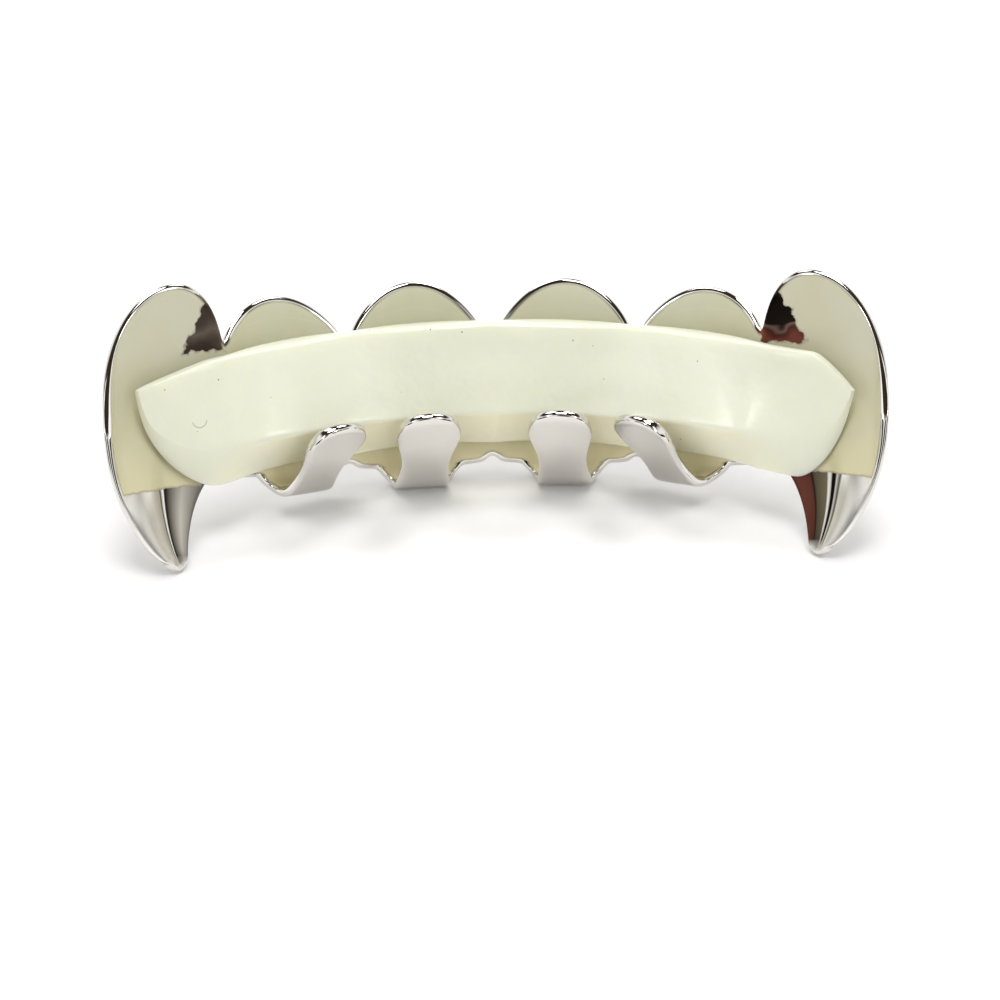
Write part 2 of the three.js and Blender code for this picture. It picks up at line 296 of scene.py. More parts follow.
def lay_sheet(bm, point, columns, rows, side, drop=0.0):
    layer = bm.loops.layers.uv[UNROLLED]
    groups = bm.verts.layers.deform.verify()
    across = bm.verts.layers.float[ACROSS]
    made = bmesh.ops.create_grid(bm, x_segments=columns, y_segments=rows, size=0.5)["verts"]
    for vert in made:
        u, v = vert.co.x + 0.5, vert.co.y + 0.5
        place = point(u, v)
        vert.co = (side * place.x, place.y, place.z)
        along, height = unrolled(vert.co)
        if point is fang_point:
            vert[across] = u
        if drop:
            height = -drop * (1 - v)
            vert[groups][0] = smoothstep(1 - v, TAB_END_FROM, 1)
        for loop in vert.link_loops:
            loop[layer].uv = (along, height)


def keep_distance_to_rim(bm):
    layer = bm.verts.layers.float[TO_RIM]
    rim = [vert for vert in bm.verts if vert.is_boundary]
    tree = KDTree(len(rim))
    for index, vert in enumerate(rim):
        tree.insert(vert.co, index)
    tree.balance()
    for vert in bm.verts:
        vert[layer] = tree.find(vert.co)[2]


def finished_piece(bm, name):
    mesh = bpy.data.meshes.new(name)
    bm.to_mesh(mesh)
    bm.free()
    mesh.shade_smooth()
    piece = bpy.data.objects.new(name, mesh)
    bpy.context.collection.objects.link(piece)
    return piece


def casting_skin():
    bm = bmesh.new()
    bm.loops.layers.uv.new(UNROLLED)
    bm.verts.layers.float.new(TO_RIM)
    bm.verts.layers.float.new(ACROSS)
    hook_columns = round(INCISOR_COLUMNS * HOOK["root"])
    for hand, side in (("right", 1), ("left", -1)):
        lay_sheet(bm, fang_point, FANG_COLUMNS, TIP_ROWS + CAP_ROWS, side)
        for name, cap in INCISORS.items():
            turn = HOOK_TURNS[hand][name]
            lay_sheet(bm, lambda u, v: incisor_point(cap, u, v), INCISOR_COLUMNS, CAP_ROWS, side)
            lay_sheet(bm, lambda u, v: hook_point(name, turn, u, v), hook_columns, HOOK_ROWS, side,
                      HOOK_TONGUES[name])
    bmesh.ops.remove_doubles(bm, verts=bm.verts, dist=WELD)
    keep_distance_to_rim(bm)
    bmesh.ops.recalc_face_normals(bm, faces=bm.faces)
    lips = max(bm.faces, key=lambda face: face.calc_center_median().y)
    if lips.normal.y < 0:
        bmesh.ops.reverse_faces(bm, faces=bm.faces)
    bmesh.ops.transform(bm, matrix=STAND, verts=bm.verts)
    piece = finished_piece(bm, "polished_casting")
    piece.vertex_groups.new(name=TAB_ENDS)
    return piece


casting = casting_skin()
wall = casting.modifiers.new("wall", "SOLIDIFY")
wall.thickness, wall.offset, wall.material_offset = TAB_END * MM, 0, 1
wall.vertex_group, wall.thickness_vertex_group = TAB_ENDS, WALL / TAB_END
smooth = casting.modifiers.new("smooth", "SUBSURF")
smooth.levels = smooth.render_levels = 2
print("casting skin:", len(casting.data.vertices), "points,", len(casting.data.polygons), "faces")

# %% [markdown]
# The silicone bar runs from fang to fang behind the caps. Its front swells into the back of each cap, its
# rear face is smooth, and a crease divides that face from a narrower facet below. Towards the ends it thins
# out against the fangs and the crease fades. Both top corners are cut away on slants, the right one more
# steeply. A grid rolled into a tube follows the arch, and the ends are filled and inset to round them. Rows
# that lie close together keep the crease and the top crisp.

# %% Silicone bar
GAP = 0.3  # to the caps
SEAM = 1e-4  # the tube's first and last rows are joined within this distance
BAR = {
    "top": 10.1, "top_fall": 1.45 / 20**2, "crease": 4.8, "crease_fall": 0.9 / 17**2,
    "foot": 2.7, "foot_fall": 1.2 / 17**2, "rear_top": 26.3, "rear_crease": 25.0,
    "end": 22.6, "end_height": 7.2, "end_inset": {"thickness": 0.08, "depth": 0.03},
    "round_from": {"left": 17.9, "right": 19.4}, "crease_round": 2.0, "foot_round": 1.55,
    "thin_from": 13, "thin_power": 1.5, "end_thickness": 0.3, "fang_bulge": 1.2,
}
# Towards the ends the crease is rounded away, on all rows below this level that aren't at the front.
CREASE_FADE = {"from": 15.5, "to": 21, "below": 1.5, "front": 0.1, "rounding": 0.9}
TRIMS = {  # the top corners are cut on a slant, from this place along the arch and this height
    "left": {"along": 18.5, "height": 8.86, "slant": radians(19.6)},
    "right": {"along": 20.6, "height": 8.5, "slant": radians(46)},
}
BAR_SECTION = [  # across: 0 front, 1 rear; level: 0 foot, 1 crease, 2 top
    (0.0, 0.2), (0.0, 0.6), (0.0, 1.0), (0.0, 1.45), (0.0, 1.8), (0.06, 1.95),
    (0.25, 2.0), (0.55, 2.0), (0.85, 1.99), (0.965, 1.97), (1.0, 1.92), (1.0, 1.8),
    (1.0, 1.55), (1.0, 1.3), (1.0, 1.08), (1.0, 1.02), (0.98, 0.975), (0.95, 0.94),
    (0.75, 0.7), (0.5, 0.4), (0.26, 0.13), (0.12, 0.0), (0.03, 0.06),
]
BAR_STATIONS = 110


def front_bulge(reach):
    for cap in INCISORS.values():
        start, end = VALLEYS[cap["near"]]["along"], VALLEYS[cap["far"]]["along"]
        if reach <= end:
            return INCISOR_BULGE * arched((reach - start) / (end - start))
    start, end = VALLEYS["beside_lateral"]["along"], FANG["widest"][0]
    return BAR["fang_bulge"] * arched(((reach - start) / (end - start)) ** TROUGH["skew"])


def end_squeeze(reach, start, power):
    turned = max(reach - start, 0) / (BAR["end"] - start)
    return max(1 - turned**power, 0) ** (1 / power)


def rounded_across(across, level, reach):
    if across < CREASE_FADE["front"] or level > CREASE_FADE["below"]:
        return across
    round_row = 1 - CREASE_FADE["rounding"] * (1 - level / CREASE_FADE["below"]) ** 2
    return lerp(across, round_row, smoothstep(reach, CREASE_FADE["from"], CREASE_FADE["to"]))


def bar_point(t, across, level):
    along = BAR["end"] * (2 * t - 1)
    reach = abs(along)
    hand = "right" if along > 0 else "left"
    round_from, trim = BAR["round_from"][hand], TRIMS[hand]
    top = BAR["top"] - BAR["top_fall"] * reach**2
    crease = lerp(BAR["end_height"], BAR["crease"] - BAR["crease_fall"] * reach**2,
                  end_squeeze(reach, round_from, BAR["crease_round"]))
    foot = lerp(BAR["end_height"], BAR["foot"] - BAR["foot_fall"] * reach**2,
                end_squeeze(reach, round_from, BAR["foot_round"]))
    height = lerp(foot, crease, level) if level < 1 else lerp(crease, top, level - 1)
    height = min(height, trim["height"] - (reach - trim["along"]) * tan(trim["slant"]))
    front = bow(height) + front_bulge(reach) - WALL / 2 - GAP
    full_rear = lerp(BAR["rear_crease"], BAR["rear_top"], max(level - 1, 0)) - ARCH_RADIUS
    thinned = (max(reach - BAR["thin_from"], 0) / (BAR["end"] - BAR["thin_from"])) ** BAR["thin_power"]
    rear = lerp(full_rear, front - BAR["end_thickness"], thinned)
    return on_arch(along, lerp(front, rear, rounded_across(across, level, reach)), height)


def silicone_bar():
    bm = bmesh.new()
    sides = len(BAR_SECTION)
    made = bmesh.ops.create_grid(bm, x_segments=BAR_STATIONS, y_segments=sides, size=0.5)["verts"]
    for vert in made:
        row = round((vert.co.y + 0.5) * sides) % sides
        vert.co = bar_point(vert.co.x + 0.5, *BAR_SECTION[row])
    bmesh.ops.remove_doubles(bm, verts=bm.verts, dist=SEAM)
    open_ends = [edge for edge in bm.edges if edge.is_boundary]
    ends = bmesh.ops.edgeloop_fill(bm, edges=open_ends)["faces"]
    bmesh.ops.inset_region(bm, faces=ends, **BAR["end_inset"])
    bmesh.ops.recalc_face_normals(bm, faces=bm.faces)
    bmesh.ops.transform(bm, matrix=STAND, verts=bm.verts)
    return finished_piece(bm, "moulded_silicone_bar")


bar = silicone_bar()
soft = bar.modifiers.new("smooth", "SUBSURF")
soft.levels = soft.render_levels = 2
print("silicone bar:", len(bar.data.vertices), "points,", len(bar.data.polygons), "faces")

# %% [markdown]
# Materials are built from a few nodes each. They could be joined by hand in the shader editor, but a script
# keeps every value in sight. One small function adds a node with its settings and links, and takes a node's
# first output where no other is asked for. One turns the sRGB colours that a picture shows into the linear
# ones that a renderer needs, and one runs through a row of tones as some value grows.

# %% Helpers for finishes


def linear(hex_colour):
    channels = [int(hex_colour[i:i + 2], 16) / 255 for i in (1, 3, 5)]
    return [c / 12.92 if c <= 0.04045 else ((c + 0.055) / 1.055) ** 2.4 for c in channels] + [1]


def add_node(tree, kind, sockets=None, **settings):
    node = tree.nodes.new("ShaderNode" + kind)
    for name, value in settings.items():
        setattr(node, name, value)
    for name, value in (sockets or {}).items():
        if isinstance(value, bpy.types.Node):
            value = next(socket for socket in value.outputs if socket.enabled)
        if isinstance(value, bpy.types.NodeSocket):
            tree.links.new(value, node.inputs[name])
        else:
            node.inputs[name].default_value = value
    return node


def tones(tree, value, stops):
    colour = linear(stops[0][1])
    for (start, _), (end, after) in zip(stops, stops[1:]):
        share = add_node(tree, "MapRange", {"Value": value, "From Min": start, "From Max": end})
        colour = add_node(tree, "Mix", {"Factor": share, "A": colour, "B": linear(after)}, data_type="RGBA")
    return colour


def new_material(name):
    material = bpy.data.materials.new(name)
    material.use_nodes = True
    material.node_tree.nodes.clear()
    return material, material.node_tree


print("mid grey in linear light:", round(linear("#808080")[0], 3))

# %% [markdown]
# The casting is plated with a bright silver-coloured metal and polished to a mirror: fully metallic, with a
# very low roughness. A perfect mirror would look drawn, so grain makes the shine a little uneven, and a bump
# gives the faint waves that hand polishing leaves. They could be modelled, but they are only thousandths of
# a millimetre deep.

# %% Polished plating
PLATING = "#e0ddd8"
WEAR = {"Scale": 1 / (2.5 * MM), "Detail": 4.0}
WEAR_ROUGHNESS = {"From Min": 0.35, "From Max": 0.75, "To Min": 0.03, "To Max": 0.06}
WAVES = {"Scale": 1 / (3.0 * MM), "Detail": 2.0}
WAVE_BUMP = {"Strength": 1.0, "Distance": 0.004 * MM}


def polished_metal(tree, place, colour, dulled=0.0):
    worn = add_node(tree, "TexNoise", {"Vector": place, **WEAR})
    roughness = add_node(tree, "MapRange", {"Value": worn, **WEAR_ROUGHNESS})
    waves = add_node(tree, "TexNoise", {"Vector": place, **WAVES})
    return add_node(tree, "BsdfPrincipled", {
        "Base Color": colour, "Metallic": 1.0,
        "Roughness": add_node(tree, "Math", {0: roughness, 1: dulled}, operation="ADD"),
        "Normal": add_node(tree, "Bump", {"Height": waves, **WAVE_BUMP})})


def plating():
    material, tree = new_material("plating_polished")
    place = add_node(tree, "TexCoord").outputs["Object"]
    add_node(tree, "OutputMaterial", {"Surface": polished_metal(tree, place, linear(PLATING))})
    return material


casting.data.materials.append(plating())
print("outside:", casting.data.materials[0].name)

# %% [markdown]
# Inside the fang tips the metal is bare, and the narrow trough draws what it mirrors out into bright and dark
# streaks from end to end. They could be left to the reflections, but those change with every room, so the
# streaks are painted reflections, coloured in the metal. The share of the way across the fang, which each
# point keeps, says which streak it lies in. The very end of the tip is one painted glint.

# %% Painted reflection streaks in the fang tips
# The streak and glint colours below are painted reflections, not the metal's own colour.
PAINTED_TIP_GLINT = "#dedcd5"
TIP_END = {"From Min": -2.35, "From Max": -2.75}  # heights at which the streaks turn into the glint
STREAK_GRAIN = {"Scale": 1 / (3.0 * MM), "Detail": 1.0}
STREAK_WAVER = 0.05
PAINTED_REFLECTION_STREAKS = {  # share of the way across the fang from its inner side, colour there
    "left": [(0.0, "#6f6a62"), (0.25, "#a9a59c"), (0.4, "#6a655c"), (0.47, "#2b2722"), (0.5, "#2b2722"),
             (0.52, "#ffffff"), (0.56, "#e4e2dc"), (0.58, "#3f3a34"), (0.61, "#d9d6ce"), (0.75, "#f4f2ee"),
             (0.85, "#c9c5bc"), (1.0, "#f0eee9")],
    "right": [(0.0, "#5f382e"), (0.25, "#4b2b23"), (0.28, "#15110f"), (0.31, "#453f32"), (0.47, "#575140"),
              (0.5, "#f2f0ea"), (0.55, "#c9c6bd"), (0.57, "#15110f"), (0.63, "#15110f"), (0.65, "#ffffff"),
              (0.7, "#4a453e"), (0.73, "#f7f6f3"), (0.82, "#c9c6be"), (1.0, "#efede8")],
}


def painted_tip_reflections(tree, place, along, height):
    across = add_node(tree, "Attribute", attribute_name=ACROSS).outputs["Fac"]
    grain = add_node(tree, "TexNoise", {"Vector": place, **STREAK_GRAIN})
    waver = add_node(tree, "Math", {
        0: grain, 1: STREAK_WAVER, 2: -STREAK_WAVER / 2}, operation="MULTIPLY_ADD")
    wavy = add_node(tree, "Math", {0: across, 1: waver}, operation="ADD")
    left, right = (tones(tree, wavy, PAINTED_REFLECTION_STREAKS[hand]) for hand in ("left", "right"))
    on_right = add_node(tree, "MapRange", {"Value": along, "From Min": -1, "From Max": 1})
    streaks = add_node(tree, "Mix", {"Factor": on_right, "A": left, "B": right}, data_type="RGBA")
    at_end = add_node(tree, "MapRange", {"Value": height, **TIP_END})
    return add_node(tree, "Mix", {"Factor": at_end, "A": streaks, "B": linear(PAINTED_TIP_GLINT)}, data_type="RGBA")


print("stops of the streaks:", {hand: len(stops) for hand, stops in PAINTED_REFLECTION_STREAKS.items()})

# %% [markdown]
# When the bar was moulded, silicone also ran over the insides of the caps and left a thin beige film. The
# plating is bare only below it, along the rims, in the fang tips, and in the upper inner corner of each fang,
# where the film tore away. There the metal is coloured with dark painted reflections, brown on the left and
# red-brown on the right. Tips and corners are a little duller than the outside. The bare places could be
# painted on a picture, but the unrolled arch gives them by real sizes, and grain makes their edges ragged.

# %% Where the plating is bare, with painted reflections in its corners
FILM_FOOT = {"From Min": 17.5, "From Max": 18.9, "To Min": -1.4, "To Max": 1.5}  # place along, height there
FILM_FROM_RIM = 0.25
RAGGED_GRAIN = {"Scale": 1 / (0.6 * MM), "Detail": 4.0}
RAGGED_FOOT, RAGGED_CORNERS = 0.15, 0.5
TIP_TOP = {"From Min": 2.6, "From Max": 2.2}
TIPS_FROM = {"From Min": 17.0, "From Max": 17.5}
DULLED = 0.25
# The corner tones are painted dark reflections on the bare metal.
CORNER_HEIGHT, CORNER_SWIRL = 3.0, 0.7  # the tones run up over this height, and swirl by this share of it
SWIRL_GRAIN = {"Scale": 1 / (2.4 * MM), "Detail": 1.0, "Distortion": 0.6}
CORNER_EDGE = {"From Min": -0.5, "From Max": -0.4}  # starts outside, so that ragged edges are coloured too
# Each corner's tones are painted reflections, not the metal's own colour.
BARE_CORNERS_WITH_PAINTED_REFLECTIONS = [  # the film's foot there, how far along it reaches there, and how much less per mm up
    {"side": 1, "foot": 9.05, "reach": 19.4, "slant": 0.48,
     "tones": [(0.0, "#80493e"), (0.12, "#57322a"), (0.18, "#7d675c"), (0.22, "#241d1a"), (0.8, "#181311"),
               (1.0, "#54453a")]},
    {"side": -1, "foot": 9.2, "reach": 19.15, "slant": 0.38,
     "tones": [(0.1, "#4f443c"), (0.4, "#7b6f64"), (0.6, "#564b43"), (0.8, "#4c4139"), (1.0, "#92867a")]},
]


def inside_corner(tree, along, height, corner):
    own = add_node(tree, "Math", {0: along, 1: corner["side"]}, operation="MULTIPLY")
    reach = corner["reach"] + corner["slant"] * corner["foot"]
    edge = add_node(tree, "Math", {0: height, 1: -corner["slant"], 2: reach}, operation="MULTIPLY_ADD")
    within = add_node(tree, "Math", {0: edge, 1: own}, operation="SUBTRACT")
    above = add_node(tree, "Math", {0: height, 1: corner["foot"]}, operation="SUBTRACT")
    in_fang = add_node(tree, "Math", {0: own, 1: VALLEYS["beside_lateral"]["along"]}, operation="SUBTRACT")
    nearer = add_node(tree, "Math", {0: within, 1: above}, operation="MINIMUM")
    return add_node(tree, "Math", {0: nearer, 1: in_fang}, operation="MINIMUM")


def below_film(tree, ragged, reach, height):
    foot = add_node(tree, "MapRange", {"Value": reach, **FILM_FOOT})
    below = add_node(tree, "Math", {0: foot, 1: height}, operation="SUBTRACT")
    return add_node(tree, "Math", {0: ragged, 1: RAGGED_FOOT, 2: below}, operation="MULTIPLY_ADD")


def in_tips(tree, reach, height):
    low = add_node(tree, "MapRange", {"Value": height, **TIP_TOP})
    on_fang = add_node(tree, "MapRange", {"Value": reach, **TIPS_FROM})
    return add_node(tree, "Math", {0: low, 1: on_fang}, operation="MULTIPLY")


def bare_places(tree, place, along, height):
    swirls = add_node(tree, "TexNoise", {"Vector": place, **SWIRL_GRAIN})
    swirl = add_node(tree, "Math", {
        0: swirls, 1: CORNER_SWIRL, 2: -CORNER_SWIRL / 2}, operation="MULTIPLY_ADD")
    grain = add_node(tree, "TexNoise", {"Vector": place, **RAGGED_GRAIN})
    ragged = add_node(tree, "Math", {0: grain, 1: 2.0, 2: -1.0}, operation="MULTIPLY_ADD")  # from -1 to 1
    reach = add_node(tree, "Math", {0: along}, operation="ABSOLUTE")
    bare = below_film(tree, ragged, reach, height)
    dull_painted_places = in_tips(tree, reach, height)
    # The fang tips get their painted reflection streaks.
    streaks = painted_tip_reflections(tree, place, along, height)
    colour = add_node(tree, "Mix", {"Factor": dull_painted_places, "A": linear(PLATING), "B": streaks}, data_type="RGBA")
    for corner in BARE_CORNERS_WITH_PAINTED_REFLECTIONS:
        inside = inside_corner(tree, along, height, corner)
        torn = add_node(tree, "Math", {0: ragged, 1: RAGGED_CORNERS, 2: inside}, operation="MULTIPLY_ADD")
        bare = add_node(tree, "Math", {0: bare, 1: torn}, operation="MAXIMUM")
        # The bare corners are coloured with their painted dark reflections.
        up = add_node(tree, "Math", {
            0: height, 1: 1 / CORNER_HEIGHT, 2: -corner["foot"] / CORNER_HEIGHT}, operation="MULTIPLY_ADD")
        painted_reflection_tone = tones(tree, add_node(tree, "Math", {0: up, 1: swirl}, operation="ADD"), corner["tones"])
        in_corner = add_node(tree, "MapRange", {"Value": inside, **CORNER_EDGE})
        colour = add_node(tree, "Mix", {"Factor": in_corner, "A": colour, "B": painted_reflection_tone}, data_type="RGBA")
        dull_painted_places = add_node(tree, "Math", {0: dull_painted_places, 1: in_corner}, operation="MAXIMUM")
    to_rim = add_node(tree, "Attribute", attribute_name=TO_RIM).outputs["Fac"]
    by_rim = add_node(tree, "Math", {0: FILM_FROM_RIM, 1: to_rim}, operation="SUBTRACT")
    bare = add_node(tree, "Math", {0: bare, 1: by_rim}, operation="MAXIMUM")
    return bare, colour, add_node(tree, "Math", {0: dull_painted_places, 1: DULLED}, operation="MULTIPLY")


print("bare corners:", len(BARE_CORNERS_WITH_PAINTED_REFLECTIONS))

# %% [markdown]
# The film itself could be a third solid, but it is far too thin to show as one, so it is a finish that covers
# the plating wherever that isn't bare. On the incisors it is painted paler near the biting edge, a painted
# light that lifts the shade under the bar. It is cloudy, and has a faint line on the incisors where it ran
# twice. A bump along its edge shows that it has some thickness, and a dark line beside that edge is its
# painted shadow.

# %% Film inside the caps
FILM = {"Roughness": 0.35, "IOR": 1.41}
# The pale foot of these cap tones is painted light that lifts the shade under the bar.
FILM_TONES_WITH_PAINTED_LIGHT = [(1.8, "#fff6cc"), (4.0, "#dad5b3"), (9.0, "#d6d5bc")]  # height, colour there
FANG_FILM_TONES = [(1.5, "#d2cba6"), (5.0, "#d3cfb0"), (9.0, "#d2d0b9")]
FANG_FILM_FROM = {"From Min": 15.5, "From Max": 17.5}
FILM_EDGE = {"From Min": 0, "From Max": 0.06}
FILM_BUMP = {"Strength": 1.0, "Distance": 0.05 * MM}
FILM_SHADE, FILM_CLOUD = "#5a5040", "#c6c199"
SHADE_BY_EDGE = {"From Min": -0.12, "From Max": 0, "To Min": 0, "To Max": 0.4}
FILM_CLOUDS = {"Scale": 1 / (4.0 * MM), "Detail": 3.0}
CLOUD_SHARE = {"From Min": 0.4, "From Max": 0.7, "To Min": 0, "To Max": 0.35}
LAP = {"height": 10.45, "rise": 0.3, "waver": 0.4, "colour": "#dddac6"}
LAP_GRAIN = {"Scale": 1 / (3.0 * MM), "Detail": 1.0}
LAP_WIDTH = {"From Min": 0.07, "From Max": 0}
LAP_SHARE = {"From Min": 15.5, "From Max": 14.5, "To Min": 0, "To Max": 0.35}  # only on the incisors


def lap_line(tree, place, reach, along, height):
    turn = 2 * pi / VALLEYS["beside_central"]["along"]
    angle = add_node(tree, "Math", {0: along, 1: turn, 2: -pi}, operation="MULTIPLY_ADD")
    wave = add_node(tree, "Math", {0: angle}, operation="COSINE")
    lap_height = add_node(tree, "Math", {0: wave, 1: LAP["rise"], 2: LAP["height"]}, operation="MULTIPLY_ADD")
    grain = add_node(tree, "TexNoise", {"Vector": place, **LAP_GRAIN})
    lowered = add_node(tree, "Math", {0: height, 1: -LAP["waver"] / 2}, operation="ADD")
    wavy = add_node(tree, "Math", {0: grain, 1: LAP["waver"], 2: lowered}, operation="MULTIPLY_ADD")
    off_line = add_node(tree, "Math", {0: wavy, 1: lap_height}, operation="SUBTRACT")
    from_line = add_node(tree, "Math", {0: off_line}, operation="ABSOLUTE")
    on_line = add_node(tree, "MapRange", {"Value": from_line, **LAP_WIDTH})
    on_incisor = add_node(tree, "MapRange", {"Value": reach, **LAP_SHARE})
    return add_node(tree, "Math", {0: on_line, 1: on_incisor}, operation="MULTIPLY")


def film_colour(tree, place, along, height):
    reach = add_node(tree, "Math", {0: along}, operation="ABSOLUTE")
    on_fang = add_node(tree, "MapRange", {"Value": reach, **FANG_FILM_FROM})
    caps, fangs = (tones(tree, height, stops) for stops in (FILM_TONES_WITH_PAINTED_LIGHT, FANG_FILM_TONES))
    film = add_node(tree, "Mix", {"Factor": on_fang, "A": caps, "B": fangs}, data_type="RGBA")
    clouds = add_node(tree, "TexNoise", {"Vector": place, **FILM_CLOUDS})
    cloudy = add_node(tree, "MapRange", {"Value": clouds, **CLOUD_SHARE})
    film = add_node(tree, "Mix", {"Factor": cloudy, "A": film, "B": linear(FILM_CLOUD)}, data_type="RGBA")
    lap = lap_line(tree, place, reach, along, height)
    return add_node(tree, "Mix", {"Factor": lap, "A": film, "B": linear(LAP["colour"])}, data_type="RGBA")


def filmed_plating():
    material, tree = new_material("plating_under_silicone_film")
    place = add_node(tree, "TexCoord").outputs["Object"]
    spot = add_node(tree, "SeparateXYZ", {"Vector": add_node(tree, "UVMap", uv_map=UNROLLED)})
    along, height = spot.outputs["X"], spot.outputs["Y"]
    bare, metal_with_painted_reflections, dulled = bare_places(tree, place, along, height)
    mask = add_node(tree, "MapRange", {"Value": bare, **FILM_EDGE})
    covered = add_node(tree, "Math", {0: 1.0, 1: mask}, operation="SUBTRACT")
    # A painted shadow darkens the film along its edge.
    colour = add_node(tree, "Mix", {
        "Factor": add_node(tree, "MapRange", {"Value": bare, **SHADE_BY_EDGE}),
        "A": film_colour(tree, place, along, height), "B": linear(FILM_SHADE)}, data_type="RGBA")
    film = add_node(tree, "BsdfPrincipled", {
        **FILM, "Base Color": colour, "Normal": add_node(tree, "Bump", {"Height": covered, **FILM_BUMP})})
    metal = polished_metal(tree, place, metal_with_painted_reflections, dulled)
    surface = add_node(tree, "MixShader", {0: mask, 1: film, 2: metal})
    add_node(tree, "OutputMaterial", {"Surface": surface})
    return material


casting.data.materials.append(filmed_plating())
print("inside:", casting.data.materials[1].name)

# %% [markdown]
# The bar is silicone, poured while it was soft: cream, smooth and a little translucent, so light goes in
# and comes out nearby. Subsurface scattering with a radius of about a millimetre does this. A mix with a
# translucent shader is simpler, but it is made for thin sheets. Faces that turn down, away from the ends, are
# painted a warmer, yellower cream as painted shade. Faint clouds, soft dents, a few specks of dust and one
# hair caught in it keep it from looking like plain plastic.

# %% Cream silicone
SILICONE = {
    "Roughness": 0.32, "IOR": 1.41, "Coat Weight": 0.6, "Coat Roughness": 0.1,
    "Subsurface Weight": 0.7, "Subsurface Radius": (1.0, 0.9, 0.6), "Subsurface Scale": 0.8 * MM,
}
# The third cream is a painted warm shade for faces that turn down.
CREAM, CREAM_CLOUD, CREAM_PAINTED_SHADE = "#eef0e0", "#e8ead4", "#f4efd2"
CREAM_CLOUDS = {"Scale": 1 / (6.0 * MM), "Detail": 3.0}
SHADE_MIDWAY = {"From Min": 20 * MM, "From Max": 8 * MM}  # from the ends towards the middle
SHADE_BELOW = {"From Min": 0.1, "From Max": -0.15}  # on faces that are turned down
SPECK = {"every": 1.4, "radius": 0.06, "colour": "#77705a"}
HAIR = {"t": 0.069, "level": 1.34, "radius": 0.42, "width": 0.04, "fade": 0.1, "colour": "#a7a28c"}
LARGE_DENTS = {"Scale": 1 / (6.0 * MM), "Detail": 1.0}
SMALL_DENTS, SMALL_SHARE = {"Scale": 1 / (1.5 * MM), "Detail": 2.0}, 0.12
DENT_BUMP = {"Strength": 1.0, "Distance": 0.8 * MM}


def hair_mark(tree, place):
    middle = STAND @ bar_point(HAIR["t"], 1.0, HAIR["level"])
    away = add_node(tree, "VectorMath", {0: place, 1: middle}, operation="DISTANCE")
    off_ring = add_node(tree, "Math", {0: away, 1: HAIR["radius"] * MM}, operation="SUBTRACT")
    from_ring = add_node(tree, "Math", {0: off_ring}, operation="ABSOLUTE")
    ring = add_node(tree, "MapRange", {"Value": from_ring, "From Min": HAIR["width"] * MM, "From Max": 0})
    height = add_node(tree, "SeparateXYZ", {"Vector": place}).outputs["Z"]
    lower_half = add_node(tree, "MapRange", {
        "Value": height, "From Min": middle.z, "From Max": middle.z - HAIR["fade"] * MM})
    return add_node(tree, "Math", {0: ring, 1: lower_half}, operation="MULTIPLY")


# Where the painted warm shade goes: faces turned down, away from the bar's ends.
def painted_shade_places(tree, place):
    normal = add_node(tree, "NewGeometry").outputs["Normal"]
    facing = add_node(tree, "SeparateXYZ", {"Vector": normal}).outputs["Z"]
    beside = add_node(tree, "SeparateXYZ", {"Vector": place}).outputs["X"]
    from_middle = add_node(tree, "Math", {0: beside}, operation="ABSOLUTE")
    midway = add_node(tree, "MapRange", {"Value": from_middle, **SHADE_MIDWAY})
    below = add_node(tree, "MapRange", {"Value": facing, **SHADE_BELOW})
    return add_node(tree, "Math", {0: midway, 1: below}, operation="MULTIPLY")


def specks(tree, place):
    dust = add_node(tree, "TexVoronoi", {"Vector": place, "Scale": 1 / (SPECK["every"] * MM)})
    size = SPECK["radius"] / SPECK["every"]
    return add_node(tree, "MapRange", {"Value": dust, "From Min": size, "From Max": size / 2})


def cream_silicone():
    material, tree = new_material("silicone_cream_translucent")
    place = add_node(tree, "TexCoord").outputs["Object"]
    clouds = add_node(tree, "TexNoise", {"Vector": place, **CREAM_CLOUDS})
    cream = linear(CREAM)
    for share, colour in ((clouds, CREAM_CLOUD), (painted_shade_places(tree, place), CREAM_PAINTED_SHADE),
                          (specks(tree, place), SPECK["colour"]), (hair_mark(tree, place), HAIR["colour"])):
        cream = add_node(tree, "Mix", {"Factor": share, "A": cream, "B": linear(colour)}, data_type="RGBA")
    large = add_node(tree, "TexNoise", {"Vector": place, **LARGE_DENTS})
    small = add_node(tree, "TexNoise", {"Vector": place, **SMALL_DENTS})
    dents = add_node(tree, "Math", {0: small, 1: SMALL_SHARE, 2: large}, operation="MULTIPLY_ADD")
    rubber = add_node(tree, "BsdfPrincipled", {
        **SILICONE, "Base Color": cream, "Normal": add_node(tree, "Bump", {"Height": dents, **DENT_BUMP})})
    add_node(tree, "OutputMaterial", {"Surface": rubber})
    return material


bar.data.materials.append(cream_silicone())
print("bar finish:", bar.data.materials[0].name)

# %% [markdown]
# Each new piece rides on the part's one body and stands for the CAD node that it remodels.

# %% Tie the pieces to the frame
for piece, node, slot in ((casting, "grill_shell", "plated_metal"), (bar, "silicone_bar", "cream_silicone")):
    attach(piece, "root")
    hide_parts(node)
print("tied", casting.name, "and", bar.name)

# %% [markdown]
# The table is a plain white sheet, big enough that its edges stay out of the picture. It is a single face,
# because a matt sheet needs no more.

# %% Table
TABLE_HALF, PAPER = 1.5, "#f7f7f7"
MATT = {"Roughness": 0.9, "Specular IOR Level": 0.1}


def white_table():
    bm = bmesh.new()
    bmesh.ops.create_grid(bm, x_segments=1, y_segments=1, size=TABLE_HALF)
    table = finished_piece(bm, "white_table")
    material, tree = new_material("white_paper")
    paper = add_node(tree, "BsdfPrincipled", {"Base Color": linear(PAPER), **MATT})
    add_node(tree, "OutputMaterial", {"Surface": paper})
    table.data.materials.append(material)
    return table


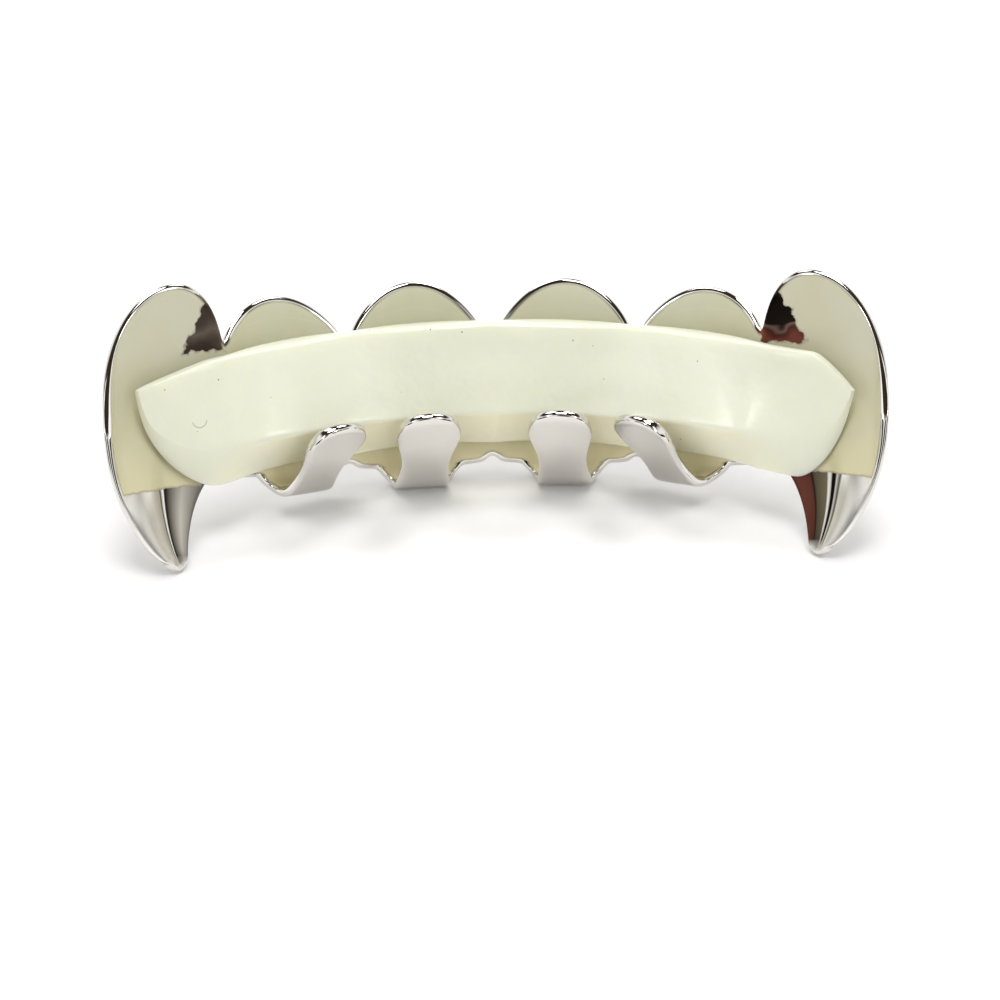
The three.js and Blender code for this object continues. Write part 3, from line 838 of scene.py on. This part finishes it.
print("stage:", white_table().name)

# %% [markdown]
# A mirror shows the room more than itself, so the room is part of the look. It is bright low down, where the
# table lights it, and dark above: that gives polished rims their brown lines. On each side hang a pale screen
# and a small lit window, and some dark things stand lower down and behind the camera. They are drawn on the
# world by direction, which is lighter than hanging real cards. Three soft lights do the rest, one overhead
# and two behind.

# %% Room and lights
WALLS = {"colour": "#f9f9f8", "gain": 1.12, "up_to": 28}
CEILING = {"colour": "#3b3128", "from": 40}
ROOM = [  # degrees to either side from behind the camera, degrees up, radius, colour and its gain
    {"turn": 46, "up": 39, "radius": 10, "colour": "#ffffff", "gain": 1.4},
    {"turn": 41, "up": 31, "radius": 3, "colour": "#ffffff", "gain": 9.0},
    {"turn": 0, "up": 18, "radius": 13, "colour": "#2a221c", "gain": 1.0},
    {"turn": 44, "up": 12, "radius": 13, "colour": "#2a221c", "gain": 1.0},
    {"turn": 65, "up": 13, "radius": 8, "colour": "#2a221c", "gain": 1.0},
]
ROOM_EDGE = 1  # degrees over which each fades into the walls
LIGHTS = [  # metres and watts; each is aimed at the part
    {"name": "overhead", "place": (0, -0.1, 0.69), "size": 0.3, "watts": 2.4},
    {"name": "behind_left", "place": (-0.24, 0.28, 0.59), "size": 0.25, "watts": 1.2},
    {"name": "behind_right", "place": (0.24, 0.28, 0.59), "size": 0.25, "watts": 1.2},
]


def lit(spec):
    return [channel * spec["gain"] for channel in linear(spec["colour"])]


def paint_room():
    world = bpy.data.worlds.new("studio")
    world.use_nodes = True
    bpy.context.scene.world = world
    tree = world.node_tree
    tree.nodes.clear()
    ray = add_node(tree, "TexCoord").outputs["Generated"]
    above = add_node(tree, "MapRange", {
        "Value": add_node(tree, "SeparateXYZ", {"Vector": ray}).outputs["Z"],
        "From Min": sin(radians(WALLS["up_to"])), "From Max": sin(radians(CEILING["from"]))})
    ceiling = linear(CEILING["colour"])
    colour = add_node(tree, "Mix", {"Factor": above, "A": lit(WALLS), "B": ceiling}, data_type="RGBA")
    for thing, side in product(ROOM, (-1, 1)):
        turn, up, radius = (radians(thing[key]) for key in ("turn", "up", "radius"))
        towards = (side * sin(turn) * cos(up), -cos(turn) * cos(up), sin(up))
        facing = add_node(tree, "VectorMath", {0: ray, 1: towards}, operation="DOT_PRODUCT")
        inside = add_node(tree, "MapRange", {
            "Value": facing, "From Min": cos(radius + radians(ROOM_EDGE)), "From Max": cos(radius)})
        colour = add_node(tree, "Mix", {"Factor": inside, "A": colour, "B": lit(thing)}, data_type="RGBA")
    light = add_node(tree, "Background", {"Color": colour, "Strength": 1.0})
    add_node(tree, "OutputWorld", {"Surface": light})


def soft_light(name, place, size, watts):
    data = bpy.data.lights.new(name, "AREA")
    data.shape, data.size, data.energy = "SQUARE", size, watts
    light = bpy.data.objects.new(name, data)
    light.location = place
    light.rotation_euler = (-Vector(place)).to_track_quat("-Z", "Y").to_euler()
    bpy.context.collection.objects.link(light)


paint_room()
for light in LIGHTS:
    soft_light(**light)
bpy.context.scene.view_settings.view_transform = "Standard"
